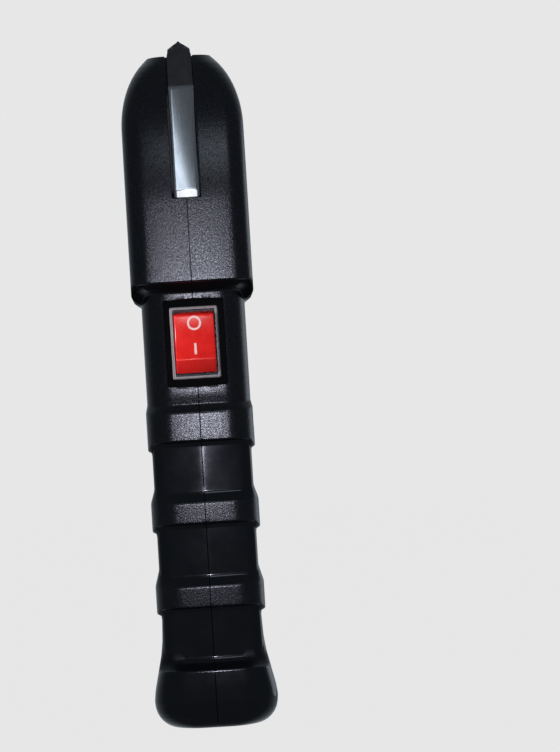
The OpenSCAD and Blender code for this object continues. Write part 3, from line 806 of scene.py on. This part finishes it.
def shell_material():
    """Black moulded plastic: spark-eroded texture on the raised faces, polished in the grooves, with painted
    shade round the switch, under the head and in the pommel's flare.
    """
    s = Surface("black_moulded_plastic")
    grain, dull = s.attribute("grain"), s.attribute("recess")
    fine = s.noise(0.5, 2.0, 0.6)
    pits = s.noise(0.28, 2.0, 0.6)
    cloud = s.noise(9.0, 3.0, 0.6)
    skin = s.noise(2.2, 2.0, 0.5)
    speckled = s.maths("MULTIPLY", s.spread(fine, 0.42, 0.68), grain)
    tone = s.mix(speckled, (0.0052, 0.0070, 0.0105), (0.0135, 0.0145, 0.0200))
    tone = s.mix(s.maths("MULTIPLY", s.spread(cloud, 0.4, 0.7), 0.5), tone, (0.0085, 0.0105, 0.0145))
    rubbed = s.maths("MULTIPLY", s.worn(0.53, 0.62), s.spread(pits, 0.35, 0.6, 0.1, 0.6))
    tone = s.mix(rubbed, tone, (0.020, 0.020, 0.028))
    # Painted shade: where "recess" is set the tone goes nearly black round the switch, under the head and in
    # the pommel's flare
    painted_shade = s.maths("MULTIPLY", dull, s.spread(pits, 0.2, 0.8, 0.6, 1.0))
    tone = s.mix(painted_shade, tone, (0.002, 0.002, 0.0024))
    matt = s.spread(fine, 0.3, 0.7, 0.18, 0.27)
    glossy = s.spread(cloud, 0.3, 0.7, 0.10, 0.15)
    rough = s.maths("ADD", s.maths("MULTIPLY", matt, grain),
                    s.maths("MULTIPLY", glossy, s.maths("SUBTRACT", 1.0, grain)))
    rough = s.maths("ADD", rough, s.maths("MULTIPLY", dull, 0.6))
    sparkle = s.maths("MULTIPLY", grain, s.spread(pits, 0.40, 0.62, -0.24, 0.30))
    gloss = s.maths("SUBTRACT", s.maths("ADD", 0.5, sparkle), s.maths("MULTIPLY", dull, 0.33))
    s.plug(gloss, s.shader.inputs["Specular IOR Level"])
    texture = s.maths("ADD", fine, s.maths("MULTIPLY", pits, 0.6))
    normal = s.bump(skin, 0.012, 0.35)
    normal = s.bump(texture, 0.027, grain, normal)
    return s.finish(tone, rough, normal)


def blade_material():
    """Polished stainless strip with fine scratches, painted nearly black above its upper fold as shade."""
    s = Surface("polished_blade_steel", metallic=1.0)
    scratch = s.noise(0.07, 3.0, 0.7, (1, 60, 60))
    cross = s.noise(0.05, 2.0, 0.6, (40, 1.5, 1.5))
    smear = s.noise(4.0, 3.0, 0.6, (0.7, 1.5, 1.5))
    tone = s.mix(s.spread(smear, 0.35, 0.7), (0.60, 0.62, 0.66), (0.50, 0.52, 0.55))
    tone = s.mix(s.maths("MULTIPLY", s.spread(scratch, 0.55, 0.75), 0.5), tone, (0.80, 0.83, 0.87))
    # Painted shade: past the upper fold, where the strip faces away, its colour goes nearly black
    painted_fold_shade = s.maths("MULTIPLY", s.attribute("fold_shade"), s.spread(smear, 0.2, 0.8, 0.75, 0.95))
    tone = s.mix(painted_fold_shade, tone, (0.13, 0.12, 0.12))
    rough = s.maths("ADD", s.spread(smear, 0.3, 0.7, 0.10, 0.12), s.spread(scratch, 0.45, 0.75, 0.0, 0.03))
    normal = s.bump(scratch, 0.0003, 0.5)
    normal = s.bump(cross, 0.0002, 0.4, normal)
    return s.finish(tone, rough, normal)


def plastic_material(name, low, high, rough, size, depth=0.01, edge=0.15, **shader):
    """Moulded plastic with a fine skin, slight mottling and edges rubbed a little lighter."""
    s = Surface(name, **shader)
    grain = s.noise(size, 3.0, 0.6)
    cloud = s.noise(size * 9, 3.0, 0.55)
    tone = s.mix(s.spread(cloud, 0.35, 0.68), low, high)
    paler = tuple(min(1.0, c * 1.25 + 0.006) for c in high)
    tone = s.mix(s.maths("MULTIPLY", s.worn(), s.spread(grain, 0.4, 0.65, 0.15, 0.7)), tone, paler)
    roughness = s.spread(s.maths("ADD", grain, cloud), 0.8, 1.25, *rough)
    return s.finish(tone, roughness, s.bump(grain, depth, 0.6, s.edge(edge)))


def metal_material(name, low, high, rough, size, stretch=(1, 1, 1), depth=0.004):
    """Metal with tooling marks along the stretched axis, dull patches and bright edges."""
    s = Surface(name, metallic=1.0)
    marks = s.noise(size, 3.0, 0.65, stretch)
    patch = s.noise(2.5, 3.0, 0.6)
    tone = s.mix(s.spread(patch, 0.35, 0.7), low, high)
    bright = tuple(min(1.0, c * 1.2) for c in high)
    tone = s.mix(s.maths("MULTIPLY", s.worn(), s.spread(marks, 0.3, 0.6, 0.2, 0.8)), tone, bright)
    roughness = s.spread(s.maths("ADD", marks, patch), 0.8, 1.25, *rough)
    return s.finish(tone, roughness, s.bump(marks, depth, 0.7, s.edge(0.1)))


def board_material():
    """Green fibreglass board with a faint weave under its lacquer."""
    s = Surface("board_fibreglass", coat=0.5, coat_roughness=0.15)
    weave = s.noise(0.25, 2.0, 0.5, (1, 1, 4))
    across = s.noise(0.25, 2.0, 0.5, (4, 1, 1))
    both = s.maths("MAXIMUM", weave, across)
    tone = s.mix(s.spread(both, 0.45, 0.7), (0.004, 0.035, 0.012), (0.010, 0.075, 0.028))
    return s.finish(tone, s.spread(both, 0.4, 0.75, 0.3, 0.5), s.bump(both, 0.01, 0.5))


BLACK, COAL, GREY = (0.012, 0.012, 0.013), (0.022, 0.022, 0.024), (0.05, 0.05, 0.053)
STEEL = ((0.42, 0.42, 0.43), (0.56, 0.56, 0.57))
# By slot: name, darker tone, lighter tone, roughness range, size of the marks, then stretch and depth
METALS = {
    "screw_steel": ("zinc_screw", (0.26, 0.26, 0.27), (0.44, 0.44, 0.45), (0.3, 0.5), 0.25),
    # The heater block's tones are painted dark, standing in for the shade it lies in behind the blade's slot
    "block_aluminium": ("block_painted_dark_as_shade", (0.07, 0.07, 0.075), (0.13, 0.125, 0.13), (0.5, 0.65), 0.3,
                        (1, 1, 1), 0.01),
    "heater_steel": ("heater_sleeve", *STEEL, (0.2, 0.35), 0.1, (1, 1, 30)),
    "clamp_steel": ("clamp_steel", *STEEL, (0.25, 0.4), 0.1, (30, 1, 1)),
    "thermostat_metal": ("thermostat_can", *STEEL, (0.2, 0.35), 0.15),
    "spring_steel": ("spring_wire", *STEEL, (0.15, 0.3), 0.08),
    "contact_brass": ("brass_contact", (0.60, 0.42, 0.17), (0.74, 0.54, 0.24), (0.2, 0.38), 0.1, (30, 1, 1)),
    "nickel": ("nickel_tab", (0.55, 0.53, 0.48), (0.68, 0.66, 0.61), (0.2, 0.35), 0.1, (1, 30, 1)),
}
# By slot: name, darker tone, lighter tone, roughness range, size of the grain, then its depth
PLASTICS = {
    "phenolic": ("phenolic_holder", (0.05, 0.022, 0.012), (0.075, 0.034, 0.018), (0.35, 0.5), 0.4),
    "plunger_plastic": ("plunger_plastic", (0.55, 0.54, 0.5), (0.66, 0.65, 0.6), (0.25, 0.4), 0.3),
    "cell_sleeve": ("cell_sleeve", (0.02, 0.16, 0.09), (0.03, 0.21, 0.12), (0.2, 0.34), 0.6, 0.006),
    "holder_plastic": ("holder_plastic", BLACK, GREY, (0.35, 0.5), 0.4, 0.015),
    "component_body": ("component_body", BLACK, GREY, (0.3, 0.45), 0.25),
    "capacitor_sleeve": ("capacitor_sleeve", (0.01, 0.015, 0.05), (0.016, 0.024, 0.075), (0.2, 0.34), 0.4),
    "jack_plastic": ("jack_plastic", BLACK, COAL, (0.28, 0.42), 0.35),
    "red_insulation": ("red_insulation", (0.42, 0.012, 0.01), (0.56, 0.02, 0.016), (0.3, 0.45), 0.3),
    "black_insulation": ("black_insulation", BLACK, COAL, (0.3, 0.45), 0.3),
    "yellow_insulation": ("yellow_insulation", (0.62, 0.42, 0.03), (0.74, 0.52, 0.05), (0.3, 0.45), 0.3),
    "heater_insulation": ("glass_sleeving", (0.58, 0.55, 0.48), (0.74, 0.71, 0.64), (0.5, 0.7), 0.12, 0.03),
    "switch_plastic": ("switch_black", (0.007, 0.007, 0.008), (0.012, 0.012, 0.013), (0.25, 0.4), 0.3, 0.006),
}
SLOT_MATERIALS = {slot: metal_material(*values) for slot, values in METALS.items()}
SLOT_MATERIALS.update({slot: plastic_material(*values) for slot, values in PLASTICS.items()})
SLOT_MATERIALS["board_resin"] = board_material()
SLOT_MATERIALS["shell_plastic"] = shell_material()
SLOT_MATERIALS["blade_steel"] = blade_material()
SLOT_MATERIALS["rocker_plastic"] = plastic_material(
    "rocker_red", (0.70, 0.012, 0.010), (0.80, 0.018, 0.014), (0.25, 0.36), 0.35, 0.003, 0.1,
    coat=0.2, coat_roughness=0.15)
RIM = plastic_material("bezel_grey", (0.17, 0.15, 0.15), (0.23, 0.205, 0.205), (0.25, 0.38), 0.3, 0.006)
MARK = plastic_material("mark_white", (0.74, 0.46, 0.46), (0.85, 0.58, 0.58), (0.35, 0.5), 0.3, 0.004)


def dress(piece, *materials):
    """Gives a piece its materials, in place of any that it has."""
    while len(piece.data.materials) < len(materials):
        piece.data.materials.append(None)
    for k, material in enumerate(materials):
        piece.data.materials[k] = material


for part in frame["record"]["subparts"]:
    node = frame["nodes"][part["node"]]
    found = SLOT_MATERIALS[part["material_slot"]]
    dress(node, *[found] * max(1, len(node.data.materials)))
for piece in (left, right):
    dress(piece, SLOT_MATERIALS["shell_plastic"])
dress(blade, SLOT_MATERIALS["blade_steel"])
dress(bezel, SLOT_MATERIALS["switch_plastic"], RIM)
for face in bezel.data.polygons:
    centre = face.center / MM
    outside = abs(centre.x) > WINDOW_W + 0.01 or abs(centre.z - SWITCH_Z) > WINDOW_L + 0.01
    if centre.y < BEZEL_Y + 0.6 and outside:
        face.material_index = 1
dress(rocker, SLOT_MATERIALS["rocker_plastic"])
dress(mark_o, MARK)
dress(mark_i, MARK)


# ---- Floor, light and camera --------------------------------------------------------------------
PALE = 0.80
FLOOR_RADII = (0.15, 0.4, 1.0, 2.0, 3.0)
FLOOR_Z = -0.02
COOL, SKY = (0.80, 0.88, 1.0), (0.80, 0.90, 1.0)
scene = bpy.context.scene
scene.view_settings.view_transform = "Standard"


def build_floor():
    """A wide pale floor in the background's own tone, just under the pommel."""
    sides = 96
    turns = [2 * math.pi * k / sides for k in range(sides)]
    points = [(0, 0, FLOOR_Z)]
    for r in FLOOR_RADII:
        points += [(r / MM * math.cos(a), r / MM * math.sin(a), FLOOR_Z) for a in turns]
    faces = [(0, 1 + k, 1 + (k + 1) % sides) for k in range(sides)]
    for j in range(len(FLOOR_RADII) - 1):
        a, b = 1 + j * sides, 1 + (j + 1) * sides
        faces += [(a + k, b + k, b + (k + 1) % sides, a + (k + 1) % sides) for k in range(sides)]
    floor = link("floor", points, faces)
    s = Surface("pale_floor")
    speck = s.noise(3.0, 3.0, 0.6)
    s.shader.inputs["Emission Strength"].default_value = 1.0
    s.plug(s.mix(speck, (0.793, 0.793, 0.793), (0.799, 0.799, 0.799)), s.shader.inputs["Emission Color"])
    s.shader.inputs["Specular IOR Level"].default_value = 0.0
    tone = s.mix(speck, (0.008, 0.008, 0.008), (0.010, 0.010, 0.010))
    s.finish(tone, s.spread(speck, 0.3, 0.7, 0.8, 0.9), s.bump(speck, 0.02, 0.2))
    dress(floor, s.material)
    floor.visible_glossy = False
    floor.visible_diffuse = False


def build_world():
    """Pale where the camera sees it. As a light it is pale behind the handle and dim before it."""
    world = bpy.data.worlds.new("studio")
    world.use_nodes = True
    scene.world = world
    nodes, links = world.node_tree.nodes, world.node_tree.links
    shade = nodes["Background"]
    seen = nodes.new("ShaderNodeBackground")
    seen.inputs["Color"].default_value = (PALE, PALE, PALE, 1)
    shade.inputs["Color"].default_value = (*SKY, 1)
    where, parts, fade = (nodes.new("ShaderNode" + kind) for kind in ("TexCoord", "SeparateXYZ", "MapRange"))
    links.new(where.outputs["Generated"], parts.inputs[0])
    links.new(parts.outputs["Y"], fade.inputs["Value"])
    for key, value in (("From Min", 0.1), ("From Max", 0.9), ("To Min", 0.10), ("To Max", 0.5)):
        fade.inputs[key].default_value = value
    links.new(fade.outputs[0], shade.inputs["Strength"])
    path, both = nodes.new("ShaderNodeLightPath"), nodes.new("ShaderNodeMixShader")
    links.new(path.outputs["Is Camera Ray"], both.inputs[0])
    links.new(shade.outputs[0], both.inputs[1])
    links.new(seen.outputs[0], both.inputs[2])
    links.new(both.outputs[0], nodes["World Output"].inputs["Surface"])


def light(name, place, target, size, power, colour=(1, 1, 1), height=None, spin=0.0, only=(), never=()):
    """A soft light aimed at a target, round or, with a height, rectangular. It lights only the given
    pieces, or all but some."""
    lamp = bpy.data.lights.new(name, "AREA")
    lamp.shape = "DISK" if height is None else "RECTANGLE"
    lamp.size = size
    if height is not None:
        lamp.size_y = height
    lamp.energy = power
    lamp.color = colour
    made = bpy.data.objects.new(name, lamp)
    bpy.context.scene.collection.objects.link(made)
    made.location = place
    aim = (Vector(target) - Vector(place)).to_track_quat("-Z", "Y").to_matrix()
    made.rotation_euler = (aim @ Matrix.Rotation(spin, 3, "Z")).to_euler()
    made.visible_camera = False
    if only or never:
        group = bpy.data.collections.new(name + "_lights")
        for piece in (*only, *never):
            group.objects.link(piece)
        for member in group.collection_objects:
            member.light_linking.link_state = "INCLUDE" if only else "EXCLUDE"
        made.light_linking.receiver_collection = group


build_floor()
build_world()

LOOKED_AT = Vector((0, 0, 0.1062))
CAMERA_AWAY = 1.00
CAMERA_RISE = math.radians(-1.0)
CAMERA_ROLL = math.radians(-3.43)
SENSOR = 36
VIEW_HIGH = 0.2262        # height of the picture, at the depth where the handle's front lies
lens = bpy.data.cameras.new("camera")
lens.sensor_width = SENSOR
lens.lens = SENSOR * (CAMERA_AWAY - HEAD_D * MM * 0.9) / VIEW_HIGH
lens.shift_x = 0.110
lens.clip_start, lens.clip_end = 0.02, 20
camera = bpy.data.objects.new("camera", lens)
scene.collection.objects.link(camera)
camera.location = LOOKED_AT + Vector((0, -math.cos(CAMERA_RISE), math.sin(CAMERA_RISE))) * CAMERA_AWAY
facing = (LOOKED_AT - camera.location).to_track_quat("-Z", "Y").to_matrix()
camera.rotation_euler = (facing @ Matrix.Rotation(CAMERA_ROLL, 3, "Z")).to_euler()
scene.camera = camera

red_parts = (rocker, mark_o, mark_i)
light("key", (0.008, -0.45, 0.118), (0, 0, 0.107), 0.045, 0.40, (0.79, 0.80, 0.97), never=red_parts)
light("fill", (0.05, -0.50, 0.37), (0, -0.02, 0.17), 0.16, 0.12, COOL, never=(*red_parts, blade))
# The softbox's upper edge slopes, so that its mirror image ends along the blade's diagonal
SOFTBOX_W, SOFTBOX_L, SOFTBOX_SLOPE = 0.17, 0.10, math.radians(-27)
edge_up = Vector((-math.sin(SOFTBOX_SLOPE), 0, math.cos(SOFTBOX_SLOPE)))
softbox_at = Vector((0, -0.42, 0.378)) - edge_up * SOFTBOX_L / 2
light("softbox", softbox_at, (softbox_at.x, -0.02, 0.19), SOFTBOX_W, 0.085, SKY,
      height=SOFTBOX_L, spin=SOFTBOX_SLOPE, only=(blade,))
light("lower_card", (0, -0.196, 0.061), (0, -0.022, 0.16), 0.08, 0.02, height=0.05, only=(blade,))
light("switch_light", (-0.40, -0.32, 0.22), (0, -0.02, 0.116), 0.12, 2.6, height=0.12,
      only=(*red_parts, bezel))
light("switch_sheen", (-0.01, -0.30, 0.050), (0, -0.02, 0.12), 0.10, 0.24, height=0.03, only=red_parts)
light("right_card", (0.75, 0.55, 0.12), (0, 0, 0.08), 0.5, 0.5, COOL)
